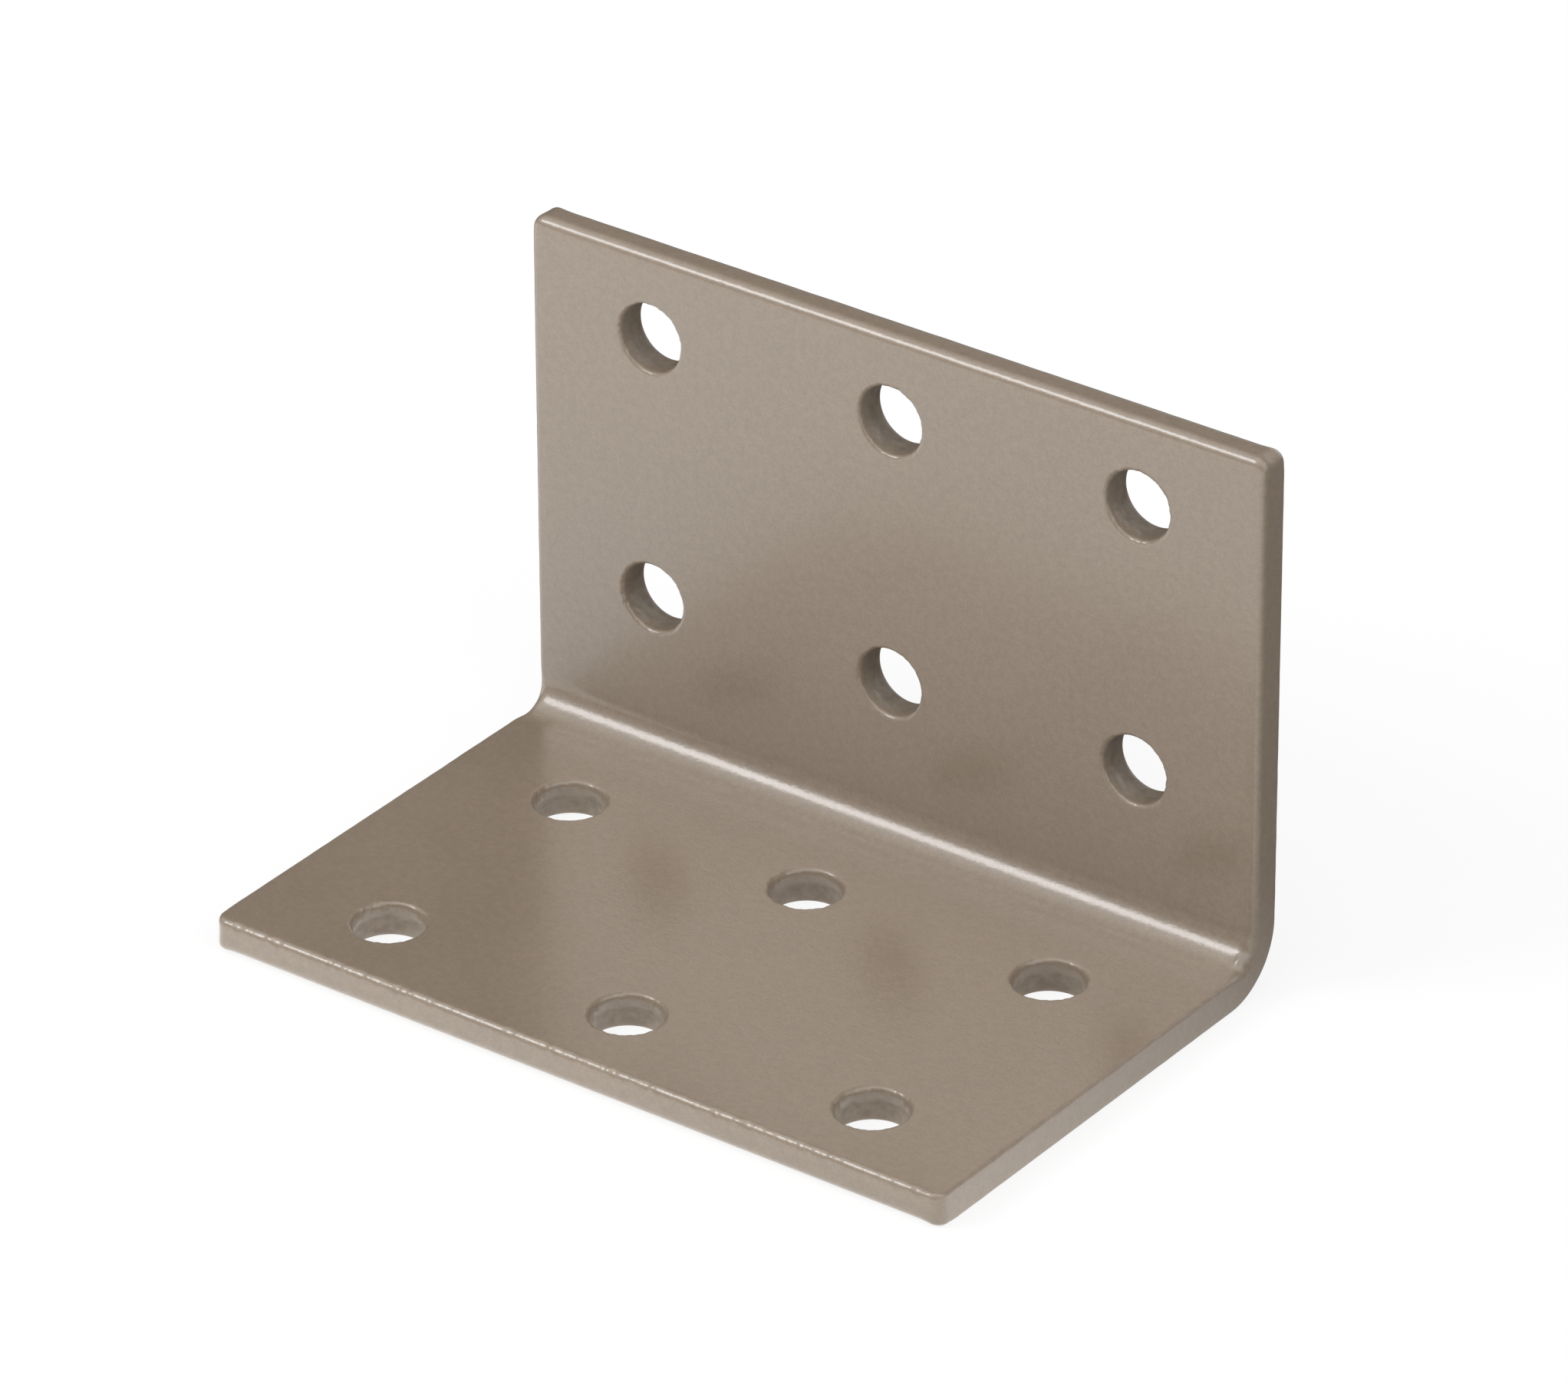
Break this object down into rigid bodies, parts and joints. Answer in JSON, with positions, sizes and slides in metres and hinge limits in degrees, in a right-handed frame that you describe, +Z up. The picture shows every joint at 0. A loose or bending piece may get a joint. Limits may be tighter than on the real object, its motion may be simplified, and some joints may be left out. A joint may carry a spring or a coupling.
{
  "type": "angle bracket",
  "caption": "Right-angle bracket folded from one steel plate, with a grid of round screw holes in each leg and a satin coat.",
  "frame": {"origin": "centre of the bounding box's bottom, midway between the wall leg's outer face and the base leg's free end", "axes": "+X along the fold, +Y out of the wall leg's outer face, +Z up along the wall leg; the base leg lies on Z = 0"},
  "size_m": [0.06, 0.0384, 0.0405],
  "materials": {
    "coated_steel": "satin grey-brown coat with a fine orange peel"
  },
  "bodies": {
    "root": {"angle_bracket": "coated_steel"}
  },
  "joints": []
}
